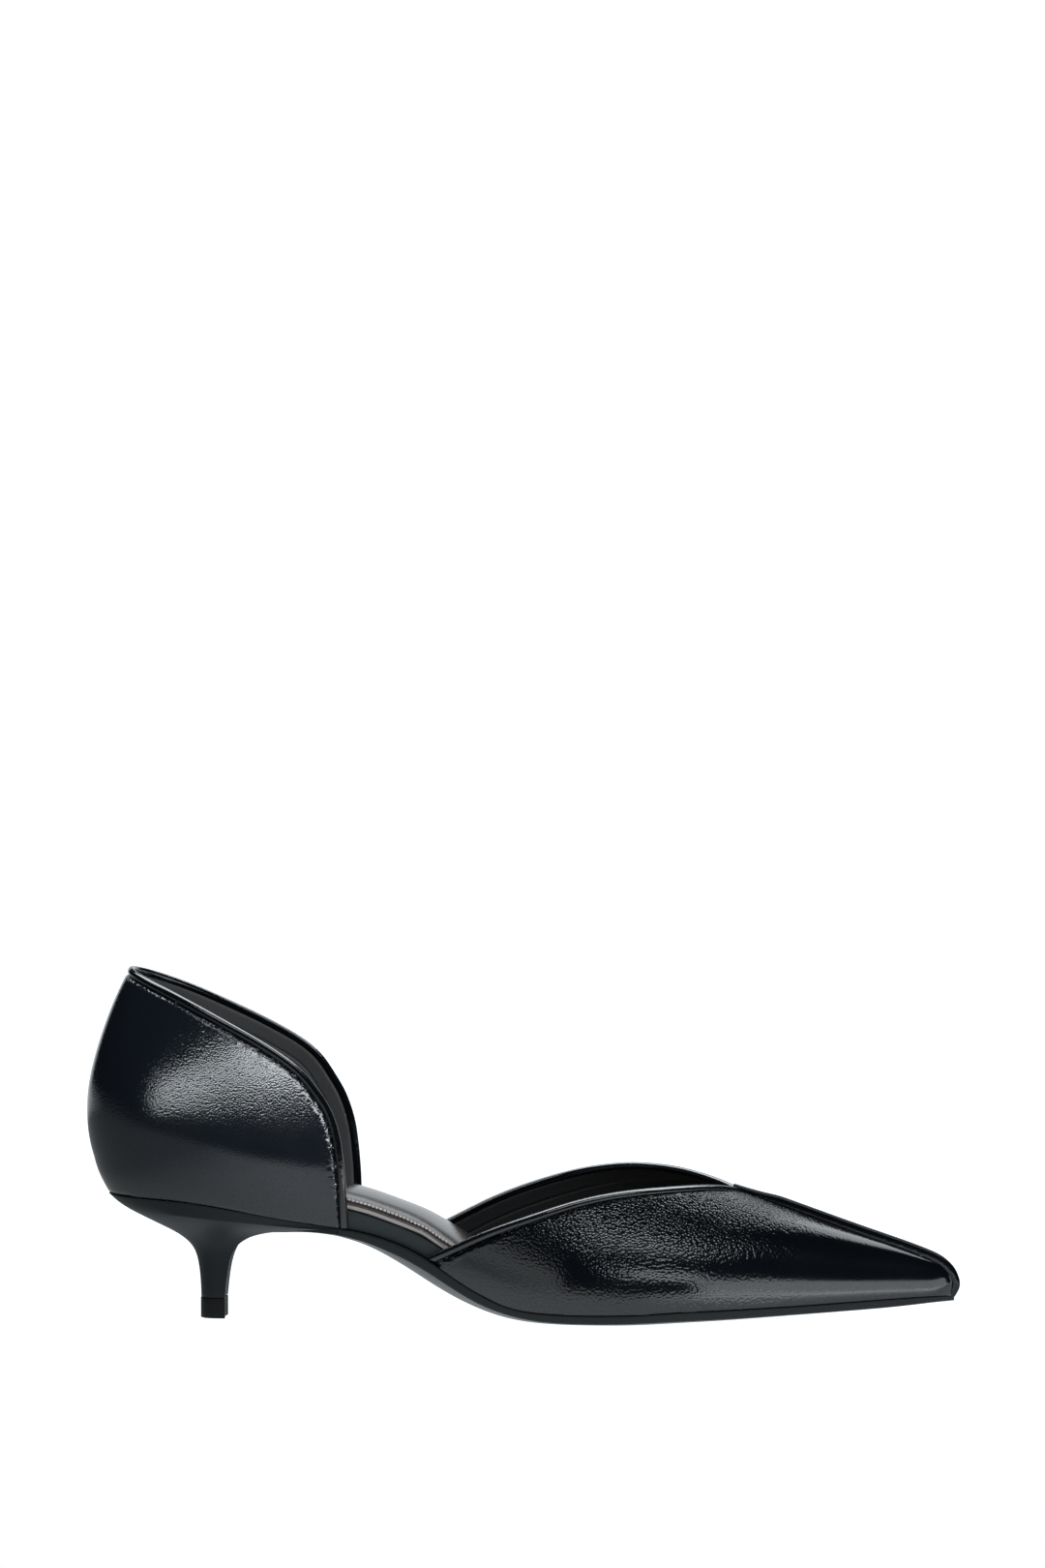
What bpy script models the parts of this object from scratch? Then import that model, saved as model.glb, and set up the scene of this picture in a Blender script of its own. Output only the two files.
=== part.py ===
"""A pointed two-piece pump on a kitten heel, right foot, built from the shape of its last.

Metres, +Z up, toe towards +X, outer side of the foot towards -Y. The shoe stands on the floor at z = 0.
Tables are in millimetres and are turned to metres as they are read.
"""

import math

import bmesh
import bpy
import numpy as np
from mathutils import Vector

MM = 0.001

# Driving dimensions
WALL = 1.5 * MM              # leather and lining of the upper
GAP = 0.3 * MM               # room left between two pieces that meet
SEAT_NOSE = 46.0 * MM        # length of the round back end of the heel cup
SEAT_HALF = 25.0 * MM        # half width of the heel seat
FEATHER_BACK = -125.2 * MM   # back of the feather line
TOE_X = 130.3 * MM           # front of the feather line
TOE_Y = 3.0 * MM             # the toe leans to the inner side
TOE_NOSE = 6.0 * MM          # length over which the toe rounds off in plan
TIP_X = 131.4 * MM           # foremost leather, above the feather line
TIP_Z = 11.4 * MM            # height of that point
TIP_NOSE = 7.0 * MM          # length over which the ridge rounds down to it
SIDE_BULGE = 0.045           # fullness of the vamp's sides, as a share of the half width
THROAT_X = 68.0 * MM         # where the two sides of the vamp's wall meet
CORNER_X = {"outer": -23.4 * MM, "inner": -26.4 * MM}   # rear ends of the vamp at the sole
BINDING_HEIGHT = 2.5 * MM    # rolled edge, along the wall
BINDING_THICK = 2.1 * MM     # rolled edge, across the wall
SEAM_WIDTH = 2.6 * MM        # bead over the toe
SEAM_HEIGHT = 1.2 * MM
SEAM_START = THROAT_X
SEAM_LIFT = 0.1 * MM         # the bead's own glue line, beyond the gap
INSOLE_INSET = WALL + 1.3 * MM   # room for the rolled edges beside the insole
SOCK_INSET = 0.9 * MM        # from the insole's edge
SOCK_THICK = 1.2 * MM
SOCK_DOME = 2.2 * MM         # the footbed is this much higher along its middle
INSOLE_FRONT = 116.0 * MM
SOCK_FRONT = 112.0 * MM
FOOTBED_END = 104.0 * MM     # from here forwards each piece of the footbed has its own end
SOLE_INSET = 0.5 * MM
KEEL_END = -20.0 * MM        # the waist's round underside fades from here forwards
KEEL_FADE = 40.0 * MM
KEEL_POWER = 2.0             # round underside at the waist
TREAD_POWER = 1.4            # turned-up edges at the ball
TREAD_FLAT = 0.31            # flat part of the tread, as a share of its width
END_FLAT = 0.1 * MM          # a rounded outline stops this short of its very end
LIFT_HEIGHT = 6.0 * MM
LIFT_OVERHANG = 0.15 * MM
WING_TIP = 0.9 * MM          # thickness of the heel wings at their points
SHOULDER_Z = 66.0 * MM       # where the quarter's topline becomes its front edge
QUARTER_FOOT_X = -53.9 * MM  # lower front corner of the quarter
TONGUE_REAR = 1.2 * MM       # the sole's tongue starts this far in front of the heel's breast

# Mesh steps
QUARTER_STEPS = (16, 10)
VAMP_SIDE_STEPS = 13
VAMP_TOE_STEPS = 10
NOSE_STEPS = 5
VAMP_ROWS = 10
SOLE_COLUMNS = 10
INSOLE_COLUMNS = 8
FOOTBED_STEPS = 22
FOOTBED_NOSE_STEPS = 7
BEAD_SIDES = 8
SEAM_STEPS = 13
TONGUE_STEPS = 8
TONGUE_CROWDING = 1.6        # the tongue's steps are closer together at its end
BODY_STEPS = 25
HEEL_COLUMNS = 20
FINE_STEPS = 120             # points of a run before it is cut into even steps
FOOTBED_TOE_SHARES = (0.4, 0.75, 1.0)
SHARP_ANGLE = math.radians(40.0)
MERGE = 0.01 * MM            # points closer than this become one
BINDING_RUN = 20.0 * MM      # a rolled edge meets the sole within this length
HALVINGS = 20
STEEPEST_MITRE = 0.5

SIDES = {"outer": -1.0, "inner": 1.0}


class Curve:
    """A smooth curve through a table's points that doesn't overshoot them."""

    def __init__(self, xs, ys):
        self.xs = np.array(xs)
        self.ys = np.array(ys)
        self.steps = np.diff(self.xs)
        rises = np.diff(self.ys) / self.steps
        self.slopes = np.empty(len(xs))
        self.slopes[0] = rises[0]
        self.slopes[-1] = rises[-1]
        for i in range(1, len(xs) - 1):
            before, after = rises[i - 1], rises[i]
            same_way = before * after > 0.0
            self.slopes[i] = 2.0 * before * after / (before + after) if same_way else 0.0

    def __call__(self, x):
        x = min(max(x, self.xs[0]), self.xs[-1])
        i = min(max(int(np.searchsorted(self.xs, x)) - 1, 0), len(self.steps) - 1)
        h = self.steps[i]
        t = (x - self.xs[i]) / h
        start = (1 + 2 * t) * (1 - t) ** 2 * self.ys[i] + t * (1 - t) ** 2 * h * self.slopes[i]
        end = t * t * (3 - 2 * t) * self.ys[i + 1] + t * t * (t - 1) * h * self.slopes[i + 1]
        return float(start + end)


def table(columns, *rows):
    """Turn rows of millimetres into one curve in metres for each column after the first."""
    names = columns.split()
    values = np.array(rows) * MM
    return {name: Curve(values[:, 0], values[:, i]) for i, name in enumerate(names) if i > 0}


# Feather line, where the upper meets the sole: height, and half width to each side
FEATHER = table(
    "x z outer inner",
    (-125.2, 37.9, 25.0, 25.0),
    (-105.0, 37.6, 25.0, 25.0),
    (-90.0, 36.0, 25.0, 25.0),
    (-75.0, 33.2, 24.8, 24.6),
    (-60.0, 30.6, 23.0, 22.2),
    (-50.0, 29.0, 21.6, 20.6),
    (-41.0, 26.7, 21.2, 19.9),
    (-29.0, 21.7, 22.2, 20.2),
    (-22.0, 17.0, 23.7, 21.9),
    (-15.0, 12.5, 25.8, 24.2),
    (-8.0, 9.1, 28.2, 26.9),
    (0.0, 6.3, 31.2, 30.3),
    (10.0, 5.7, 34.7, 33.9),
    (22.0, 5.6, 37.0, 36.2),
    (36.0, 5.8, 36.9, 36.9),
    (48.0, 6.5, 34.8, 35.9),
    (62.0, 6.7, 30.0, 32.6),
    (80.0, 6.9, 21.6, 26.5),
    (100.0, 7.5, 12.9, 18.6),
    (115.0, 8.0, 6.4, 12.3),
    (124.3, 8.2, 2.4, 8.6),
    (130.3, 8.1, -0.2, 6.2),
)

# Back of the heel cup in side view, and the cup's half width that far above the seat
CUP = table(
    "z back half",
    (30.0, -121.0, 22.8),
    (38.0, -125.2, 25.0),
    (42.2, -128.2, 26.7),
    (49.0, -131.1, 28.1),
    (57.0, -132.8, 28.4),
    (63.0, -133.1, 28.2),
    (68.5, -132.8, 27.8),
    (77.0, -131.1, 27.0),
    (86.5, -128.2, 25.6),
    (98.0, -123.7, 23.4),
    (107.0, -119.0, 21.4),
)

# Topline of the quarter's wall on each side, from the back to the shoulder
QUARTER_TOP = table(
    "x outer inner",
    (-121.5, 103.9, 103.9),
    (-105.0, 97.2, 97.2),
    (-91.3, 90.6, 90.8),
    (-76.6, 82.6, 83.5),
    (-66.2, 75.2, 76.8),
    (-59.3, 66.0, 66.0),
)

# Front edge of the quarter's wall, from the sole up to the shoulder
QUARTER_FRONT = table(
    "z x",
    (29.0, -53.9),
    (40.0, -54.2),
    (54.8, -55.6),
    (61.0, -57.1),
    (66.0, -59.3),
)

# Line over the middle of the forepart. Behind the throat it is the last, where the leather is cut away.
RIDGE = table(
    "x y z",
    (-30.0, 2.0, 85.0),
    (-20.0, 2.2, 79.0),
    (-8.0, 2.4, 72.0),
    (6.0, 2.7, 64.0),
    (20.0, 3.0, 56.5),
    (34.0, 3.3, 51.5),
    (46.0, 3.5, 47.0),
    (56.0, 3.6, 43.4),
    (68.0, 3.6, 38.9),
    (83.5, 3.4, 33.5),
    (101.0, 3.2, 27.4),
    (118.7, 3.0, 21.4),
    (131.4, 3.0, 16.4),
)

# Topline of the vamp's wall on each side
VAMP_TOP = table(
    "x outer inner",
    (-30.0, 18.2, 21.0),
    (-20.0, 21.9, 26.8),
    (-8.0, 27.6, 32.5),
    (6.0, 33.0, 37.3),
    (20.0, 37.7, 41.2),
    (34.0, 40.2, 43.4),
    (46.0, 40.9, 43.6),
    (56.0, 41.0, 42.0),
    (63.0, 40.2, 40.6),
    (68.0, 38.9, 38.9),
)

# Underside of the outsole along its middle, and at its edge
SOLE = table(
    "x keel rim",
    (-81.0, 26.2, 26.4),
    (-74.0, 26.9, 27.3),
    (-64.0, 26.8, 28.1),
    (-57.4, 25.9, 27.9),
    (-48.6, 23.6, 26.4),
    (-39.8, 19.0, 23.0),
    (-31.0, 13.4, 19.0),
    (-22.2, 7.8, 13.6),
    (-13.4, 3.9, 8.4),
    (-4.6, 1.2, 5.2),
    (3.0, 0.2, 3.7),
    (10.0, 0.0, 3.1),
    (20.0, 0.0, 3.0),
    (32.0, 0.0, 3.1),
    (39.0, 0.2, 3.4),
    (46.0, 0.6, 3.7),
    (54.0, 1.0, 3.9),
    (62.0, 1.4, 4.0),
    (80.0, 2.5, 4.4),
    (97.0, 3.6, 4.9),
    (114.0, 4.8, 5.6),
    (123.0, 5.8, 6.3),
    (130.3, 6.5, 6.8),
)

# Insole and sock: height of the insole's top above the feather line
INSOLE = table(
    "x height",
    (-125.0, 5.0),
    (-80.0, 5.4),
    (-52.0, 5.6),
    (-44.0, 4.9),
    (-36.0, 4.6),
    (-26.0, 5.5),
    (-10.0, 4.8),
    (10.0, 4.0),
    (60.0, 3.2),
    (130.0, 3.0),
)

# Heel block, a row for each level below the seat: back, middle of the breast, points of the wings, half width
HEEL_LEVEL_COLUMNS = "back_x back_z breast_x tip_x tip_z half"
HEEL_LEVELS = (
    (-121.6, 34.7, -81.4, -60.5, 29.4, 23.4),
    (-116.4, 31.8, -81.9, -66.5, 28.7, 20.4),
    (-110.4, 28.8, -82.9, -74.0, 27.8, 16.2),
    (-105.2, 26.2, -84.4, -80.5, 26.2, 12.0),
    (-101.5, 23.6, -86.5, -84.9, 23.7, 8.8),
    (-99.3, 20.8, -88.2, -87.3, 20.8, 6.9),
    (-98.3, 16.7, -89.4, -88.7, 16.7, 5.9),
    (-97.9, 11.5, -90.1, -89.6, 11.5, 5.4),
    (-97.9, 6.3, -90.6, -90.2, 6.3, 5.2),
)
SEAT_BREAST_X = -81.0 * MM
SEAT_TIP_X = -54.5 * MM
WING_POWER = 2.4             # how late the notch between the wings opens
NOSE_SHARE = 0.6             # round part of a heel level, as a share of its length
LOWEST_SHARE = 0.015         # least height of the vamp at its corners, as a share of the last
STEM_SHARE = 0.8             # width of the breast in the stem, as a share of the stem's width

# Section of the bead over the toe, as shares of its half width and of its height
SEAM_PROFILE = (
    (-1.0, 0.0),
    (1.0, 0.0),
    (0.85, 0.7),
    (0.4, 1.0),
    (-0.4, 1.0),
    (-0.85, 0.7),
)


def clear_scene():
    for thing in list(bpy.data.objects):
        bpy.data.objects.remove(thing, do_unlink=True)


def material(name, colour, roughness):
    finish = bpy.data.materials.new(name)
    finish.use_nodes = True
    shader = finish.node_tree.nodes["Principled BSDF"]
    shader.inputs["Base Color"].default_value = (*colour, 1.0)
    shader.inputs["Roughness"].default_value = roughness
    shader.inputs["Metallic"].default_value = 0.0
    return finish


def round_end(distance, length):
    """Share of the full size at a distance past the start of a round end."""
    share = min(max(distance / length, 0.0), 1.0)
    return math.sqrt(1.0 - share * share)


def plan_half(side, x, inset=0.0):
    """Half width of the feather outline, moved in by an inset. It rounds off at the back and at the toe."""
    back = round_end(FEATHER_BACK + SEAT_NOSE - x, SEAT_NOSE - inset)
    toe = round_end(x - (TOE_X - TOE_NOSE), TOE_NOSE - inset)
    lean = SIDES[side] * TOE_Y if x > 0.0 else 0.0
    return (FEATHER[side](x) - inset - lean) * back * toe + lean


# Quarter: the heel cup as a surface over girth and height

def cup_point(side, girth, z):
    """Point of the cup. Girth runs from 0 at the back to 1 at the end of the round part, and on forwards."""
    angle = min(girth, 1.0) * math.pi / 2
    ahead = max(girth - 1.0, 0.0) * SEAT_NOSE * math.pi / 2
    x = CUP["back"](z) + SEAT_NOSE * (1.0 - math.cos(angle)) + ahead
    level = z - FEATHER["z"](x) + FEATHER["z"](FEATHER_BACK)
    half = CUP["half"](level) * FEATHER[side](x) / SEAT_HALF
    return Vector((x, SIDES[side] * half * math.sin(angle), z))


def cup_girth(x, z):
    """Girth at which the cup at height z reaches x."""
    run = x - CUP["back"](z)
    if run < SEAT_NOSE:
        return math.acos(1.0 - max(run, 0.0) / SEAT_NOSE) / (math.pi / 2)
    return 1.0 + (run - SEAT_NOSE) / (SEAT_NOSE * math.pi / 2)


def even_steps(points, lengths, count):
    """Resample a fine run of points so that its steps have even length."""
    along = np.concatenate(([0.0], np.cumsum(lengths)))
    wanted = np.linspace(0.0, along[-1], count + 1)
    points = np.array(points)
    return [tuple(np.interp(w, along, points[:, k]) for k in range(points.shape[1])) for w in wanted]


def cup_run(places, count):
    """Even steps along a run of (x, z) places on the cup, as (girth, z)."""
    spots = [(cup_girth(x, z), z) for x, z in places]
    points = [cup_point("outer", girth, z) for girth, z in spots]
    lengths = [(b - a).length for a, b in zip(points, points[1:])]
    return even_steps(spots, lengths, count)


def quarter_grid(side):
    """Grid of points over one side of the quarter, rows from the sole to the topline, back to front."""
    columns, rows = QUARTER_STEPS
    fine = np.linspace(0.0, 1.0, FINE_STEPS)
    topline = QUARTER_TOP[side]
    top_start, top_end = topline.xs[0], topline.xs[-1]
    low_z = FEATHER["z"](QUARTER_FOOT_X) + GAP / 2
    back_z = FEATHER["z"](FEATHER_BACK) + GAP / 2
    top_z = topline(top_start)
    top_places, foot_places = [], []
    for share in fine ** 2:
        x = top_start + (top_end - top_start) * share
        top_places.append((x, topline(x)))
        x = FEATHER_BACK + (QUARTER_FOOT_X - FEATHER_BACK) * share
        foot_places.append((x, FEATHER["z"](x) + GAP / 2))
    front_places = [(QUARTER_FRONT["x"](z), z) for z in low_z + (SHOULDER_Z - low_z) * fine]
    back_places = [(CUP["back"](z), z) for z in back_z + (top_z - back_z) * fine]
    top = np.array(cup_run(top_places, columns))
    foot = np.array(cup_run(foot_places, columns))
    front = np.array(cup_run(front_places, rows))
    back = np.array(cup_run(back_places, rows))
    grid = []
    for j in range(rows + 1):
        t = j / rows
        row = []
        for i in range(columns + 1):
            s = i / columns
            edges = (1 - t) * foot[i] + t * top[i] + (1 - s) * back[j] + s * front[j]
            corners = (1 - s) * ((1 - t) * foot[0] + t * top[0]) + s * ((1 - t) * foot[-1] + t * top[-1])
            girth, z = edges - corners
            row.append(cup_point(side, max(girth, 0.0), z))
        grid.append(row)
    return grid


# Vamp: the forepart as sections between the feather line and the ridge

def vamp_point(side, x, angle):
    """Point of the forepart at station x, from angle 0 at the feather to a right angle at the ridge."""
    toe = round_end(x - (TOE_X - TOE_NOSE), TOE_NOSE)
    past = max(x - (TOE_X - TOE_NOSE), 0.0) / TOE_NOSE
    ridge_x = x if past == 0.0 else TIP_X - TIP_NOSE + TIP_NOSE * past
    ridge_y = RIDGE["y"](ridge_x)
    ridge_z = TIP_Z + (RIDGE["z"](ridge_x) - TIP_Z) * (toe if past > 0.0 else 1.0)
    foot_y = SIDES[side] * plan_half(side, x)
    foot_z = FEATHER["z"](x) + GAP / 2
    span = foot_y - ridge_y
    y = ridge_y + span * (math.cos(angle) + SIDE_BULGE * math.sin(2.0 * angle))
    z = foot_z + (ridge_z - foot_z) * math.sin(angle)
    return Vector((x + (ridge_x - x) * math.sin(angle), y, z))


def vamp_top_angle(side, x):
    """Angle at which the wall's topline cuts the section at x."""
    if x >= THROAT_X:
        return math.pi / 2
    foot_z = FEATHER["z"](x) + GAP / 2
    share = (VAMP_TOP[side](x) - foot_z) / (RIDGE["z"](x) - foot_z)
    return math.asin(min(max(share, LOWEST_SHARE), 1.0))


def nose_stations(reach):
    """Stations round the front of the toe, closer together towards its end."""
    turns = [math.pi / 2 * k / NOSE_STEPS for k in range(1, NOSE_STEPS + 1)]
    return [TOE_X - TOE_NOSE + reach * math.sin(turn) for turn in turns]


def vamp_stations(side):
    sides = np.linspace(CORNER_X[side], THROAT_X, VAMP_SIDE_STEPS + 1)
    toe = np.linspace(THROAT_X, TOE_X - TOE_NOSE, VAMP_TOE_STEPS + 1)[1:]
    return [*sides, *toe, *nose_stations(TOE_NOSE)]


def vamp_grid(side):
    """Grid of points over one side of the vamp, rows from the sole to the topline, back to front."""
    stations = vamp_stations(side)
    tops = [vamp_top_angle(side, x) for x in stations]
    shares = [j / VAMP_ROWS for j in range(VAMP_ROWS + 1)]
    return [[vamp_point(side, x, top * share) for x, top in zip(stations, tops)] for share in shares]


# Mesh builders

def new_object(name, bm, finish):
    mesh = bpy.data.meshes.new(name)
    bm.to_mesh(mesh)
    bm.free()
    mesh.materials.append(finish)
    mesh.shade_smooth()
    mesh.set_sharp_from_angle(angle=SHARP_ANGLE)
    piece = bpy.data.objects.new(name, mesh)
    bpy.context.scene.collection.objects.link(piece)
    return piece


def add_grid(bm, grid, flip):
    """Fill a grid of points with four-sided faces and return its vertices."""
    verts = [[bm.verts.new(point) for point in row] for row in grid]
    for row, above in zip(verts, verts[1:]):
        for i in range(len(row) - 1):
            corners = [row[i], row[i + 1], above[i + 1], above[i]]
            bm.faces.new(reversed(corners) if flip else corners)
    return verts


def border(verts):
    """Vertices round the edge of a grid, in order."""
    right = [row[-1] for row in verts[1:-1]]
    left = [row[0] for row in verts[1:-1]]
    return [*verts[0], *right, *reversed(verts[-1]), *reversed(left)]


def solid_between(name, skin_a, skin_b, finish):
    """Closed solid between two grids of the same size."""
    bm = bmesh.new()
    edge_a = border(add_grid(bm, skin_a, False))
    edge_b = border(add_grid(bm, skin_b, True))
    for k in range(len(edge_a)):
        after = (k + 1) % len(edge_a)
        bm.faces.new((edge_a[after], edge_a[k], edge_b[k], edge_b[after]))
    bmesh.ops.recalc_face_normals(bm, faces=bm.faces)
    return new_object(name, bm, finish)


def leather_wall(name, grids, finish):
    """Hollow wall: the outer surface from two grids that share an edge, thickened inwards."""
    bm = bmesh.new()
    for side, grid in grids.items():
        add_grid(bm, grid, side == "inner")
    bmesh.ops.remove_doubles(bm, verts=bm.verts, dist=MERGE)
    bmesh.ops.dissolve_degenerate(bm, edges=bm.edges, dist=MERGE)
    piece = new_object(name, bm, finish)
    thicken = piece.modifiers.new("wall", "SOLIDIFY")
    thicken.thickness = WALL
    thicken.offset = -1.0
    thicken.use_even_offset = True
    thicken.use_quality_normals = True
    return piece


def bead_rings(path, normals, lift):
    """Rings of a rolled edge along a path. The lift moves them past the edge of the wall."""
    rings = []
    for k, (point, normal) in enumerate(zip(path, normals)):
        before = (point - path[k - 1]).normalized() if k > 0 else None
        after = (path[k + 1] - point).normalized() if k < len(path) - 1 else None
        past_in = normal.cross(before or after).normalized()
        past_out = normal.cross(after or before).normalized()
        past = (past_in + past_out).normalized()
        stretch = 1.0 / max(past.dot(past_in), STEEPEST_MITRE)
        ring = []
        for along, off in binding_profile():
            ring.append(point + past * stretch * (lift + along) + normal * off)
        rings.append(ring)
    return rings


def run_to_sole(ring, following):
    """End of a rolled edge: each point of its first ring carried on, past the ring, down to the sole."""
    end = []
    for point, ahead in zip(ring, following):
        step = (point - ahead).normalized()
        near, far = 0.0, BINDING_RUN
        for _ in range(HALVINGS):
            middle = (near + far) / 2
            place = point + step * middle
            above = place.z > FEATHER["z"](place.x) + GAP
            near, far = (middle, far) if above else (near, middle)
        end.append(point + step * near)
    return end


def tube(name, rings, finish):
    bm = bmesh.new()
    loops = []
    for ring in rings:
        verts = [bm.verts.new(point) for point in ring]
        loops.append([bm.edges.new((verts[k - 1], verts[k])) for k in range(len(verts))])
    for loop, following in zip(loops, loops[1:]):
        bmesh.ops.bridge_loops(bm, edges=loop + following)
    for loop in (loops[0], loops[-1]):
        bmesh.ops.contextual_create(bm, geom=loop)
    bmesh.ops.recalc_face_normals(bm, faces=bm.faces)
    return new_object(name, bm, finish)


def binding_profile():
    """Round section of a rolled edge: along the wall, and across it."""
    turns = [2.0 * math.pi * (k + 0.5) / BEAD_SIDES for k in range(BEAD_SIDES)]
    return [(BINDING_HEIGHT / 2 * math.cos(turn), BINDING_THICK / 2 * math.sin(turn)) for turn in turns]


def grid_normal(grid, i, j, outward):
    """Unit normal of a grid at one of its points, turned to the outside."""
    rows, columns = len(grid) - 1, len(grid[0]) - 1
    along = grid[min(i + 1, rows)][j] - grid[max(i - 1, 0)][j]
    across = grid[i][min(j + 1, columns)] - grid[i][max(j - 1, 0)]
    normal = along.cross(across).normalized()
    return normal if normal.dot(outward) > 0.0 else -normal


# Pieces

def make_quarter(finish):
    grids = {side: quarter_grid(side) for side in SIDES}
    return leather_wall("quarter", grids, finish), grids


def make_vamp(finish):
    grids = {side: vamp_grid(side) for side in SIDES}
    return leather_wall("vamp", grids, finish), grids


def edge_spots(grid, cells):
    """Points of a grid's edge with the wall's outward normals, moved to the middle of the wall."""
    path, normals = [], []
    for i, j in cells:
        point = grid[i][j]
        outward = Vector((0.0, point.y, abs(point.y)))
        normal = grid_normal(grid, i, j, outward)
        path.append(point - normal * WALL / 2)
        normals.append(normal)
    return path, normals


def make_quarter_binding(grids, finish):
    rows, columns = QUARTER_STEPS[1], QUARTER_STEPS[0]
    cells = [(j, columns) for j in range(rows)] + [(rows, i) for i in range(columns, 0, -1)]
    outer_path, outer_normals = edge_spots(grids["outer"], cells)
    inner_path, inner_normals = edge_spots(grids["inner"], cells)
    back = grids["outer"][rows][0]
    lean = Vector((CUP["back"](back.z) - CUP["back"](back.z - MM), 0.0, MM))
    back_normal = Vector((-lean.z, 0.0, lean.x)).normalized()
    path = [*outer_path, back - back_normal * WALL / 2, *reversed(inner_path)]
    normals = [*outer_normals, back_normal, *reversed(inner_normals)]
    return tube("quarter_binding", bead_rings(path, normals, -(GAP + BINDING_HEIGHT / 2)), finish)


def make_vamp_binding(grids, finish):
    cells = [(VAMP_ROWS, i) for i in range(1, VAMP_SIDE_STEPS)]
    outer_path, outer_normals = edge_spots(grids["outer"], cells)
    inner_path, inner_normals = edge_spots(grids["inner"], cells)
    throat = grids["outer"][VAMP_ROWS][VAMP_SIDE_STEPS]
    ahead = grids["outer"][VAMP_ROWS][VAMP_SIDE_STEPS + 1]
    fall = (ahead - throat).normalized()
    throat_normal = Vector((-fall.z, 0.0, fall.x)).normalized()
    path = [*outer_path, throat - throat_normal * WALL / 2, *reversed(inner_path)]
    normals = [*outer_normals, throat_normal, *reversed(inner_normals)]
    rings = bead_rings(path, normals, GAP + BINDING_HEIGHT / 2)
    rings = [run_to_sole(rings[0], rings[1]), *rings, run_to_sole(rings[-1], rings[-2])]
    return tube("vamp_binding", rings, finish)


def make_toe_seam(finish):
    """Bead along the ridge from the throat, over the toe and down to the sole."""
    along_ridge = np.linspace(SEAM_START, TOE_X - TOE_NOSE, SEAM_STEPS + 1)
    stations = [*along_ridge, *nose_stations(TOE_NOSE)]
    points = [vamp_point("outer", x, math.pi / 2) for x in stations]
    foot = vamp_point("outer", TOE_X, 0.0)
    points += [points[-1].lerp(foot, 0.5), foot + Vector((0.0, 0.0, GAP))]
    low = GAP + SEAM_LIFT
    rings = []
    for k, point in enumerate(points):
        along = (points[min(k + 1, len(points) - 1)] - points[max(k - 1, 0)]).normalized()
        off = Vector((-along.z, 0.0, along.x)).normalized()
        across = along.cross(off).normalized()
        ring = []
        for wide, high in SEAM_PROFILE:
            ring.append(point + across * wide * SEAM_WIDTH / 2 + off * (low + high * (SEAM_HEIGHT - GAP)))
        rings.append(ring)
    return tube("toe_seam", rings, finish)


def across_skin(stations, columns, half_at, height_at):
    """Grid over the foot: a row for each station, points from the outer side to the inner side."""
    grid = []
    for x in stations:
        low, high = -half_at("outer", x), half_at("inner", x)
        row = []
        for k in range(columns + 1):
            y = low + (high - low) * (1.0 - math.cos(math.pi * k / columns)) / 2
            row.append(Vector((x, y, height_at(x, y))))
        grid.append(row)
    return grid


def share_of(half_at, x, y):
    """How far y lies from the middle of an outline, as a share of the way to its edge."""
    low, high = -half_at("outer", x), half_at("inner", x)
    return min(abs(2.0 * (y - low) / (high - low) - 1.0), 1.0)


def footbed_stations(inset, front):
    """Stations of a piece inside the shoe. All such pieces share the ones along the middle of the foot."""
    reach = SEAT_NOSE - inset
    angles = [math.pi / 2 * k / FOOTBED_NOSE_STEPS for k in range(1, FOOTBED_NOSE_STEPS)]
    rear = [FEATHER_BACK + SEAT_NOSE - reach * math.cos(angle) for angle in angles]
    middle = np.linspace(FEATHER_BACK + SEAT_NOSE, FOOTBED_END, FOOTBED_STEPS + 1)
    toe = [FOOTBED_END + (front - FOOTBED_END) * share for share in FOOTBED_TOE_SHARES]
    return [FEATHER_BACK + inset + END_FLAT, *rear, *middle, *toe]


def tongue_half(side, x):
    """Half width of the notch between the heel wings, where the sole's tongue lies."""
    share = max(x - SEAT_BREAST_X, 0.0) / (SEAT_TIP_X - SEAT_BREAST_X)
    notch = (SEAT_HALF - SOLE_INSET - WING_TIP) * share ** (1.0 / WING_POWER)
    return notch * FEATHER[side](x) / SEAT_HALF


def sole_half(side, x):
    if x <= SEAT_TIP_X:
        return tongue_half(side, x - GAP) - GAP
    return plan_half(side, x, SOLE_INSET)


def make_outsole(finish):
    rear = SEAT_BREAST_X + TONGUE_REAR
    shares = np.linspace(0.0, 1.0, TONGUE_STEPS + 1) ** TONGUE_CROWDING
    tongue = [rear + (SEAT_TIP_X - rear) * share for share in shares]
    body = np.linspace(SEAT_TIP_X + GAP, TOE_X - TOE_NOSE, BODY_STEPS + 1)
    nose = nose_stations(TOE_NOSE - SOLE_INSET)[:-1]
    stations = [*tongue, *body, *nose, TOE_X - SOLE_INSET - END_FLAT]

    def top(x, y):
        return FEATHER["z"](x) - GAP / 2

    def bottom(x, y):
        forward = min(max((x - KEEL_END) / KEEL_FADE, 0.0), 1.0)
        power = KEEL_POWER + (TREAD_POWER - KEEL_POWER) * forward
        flat = TREAD_FLAT * forward
        turned_up = max(share_of(sole_half, x, y) - flat, 0.0) / (1.0 - flat)
        keel = SOLE["keel"](x)
        return keel + (SOLE["rim"](x) - keel) * turned_up ** power

    upper_skin = across_skin(stations, SOLE_COLUMNS, sole_half, top)
    under_skin = across_skin(stations, SOLE_COLUMNS, sole_half, bottom)
    return solid_between("outsole", upper_skin, under_skin, finish)


def insole_half(side, x):
    return plan_half(side, x, INSOLE_INSET)


def sock_half(side, x):
    return plan_half(side, x, INSOLE_INSET + SOCK_INSET)


def insole_foot(x, y):
    return FEATHER["z"](x) + GAP / 2


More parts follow.
